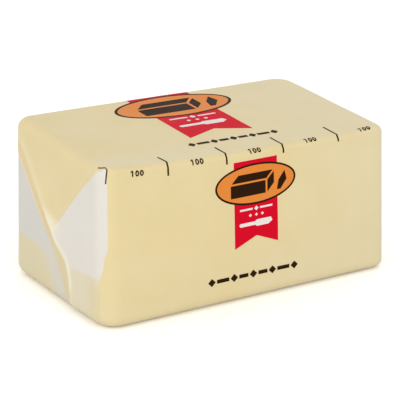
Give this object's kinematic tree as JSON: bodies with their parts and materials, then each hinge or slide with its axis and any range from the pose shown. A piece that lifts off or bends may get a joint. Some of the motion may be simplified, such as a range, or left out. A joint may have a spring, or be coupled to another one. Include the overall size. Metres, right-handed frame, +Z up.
{
  "type": "wrapped butter block",
  "caption": "Rectangular block of butter shut in a printed parchment wrapper, with rounded edges and envelope folds at both ends.",
  "frame": {"origin": "middle of the base that the pack rests on", "axes": "+X along the pack to its right end, +Y from the printed front to the back, +Z up"},
  "size_m": [0.1246, 0.072, 0.0623],
  "materials": {
    "wrapper": "matt butter-yellow printed parchment"
  },
  "bodies": {
    "root": {"wrapped_butter": "wrapper"}
  },
  "joints": []
}
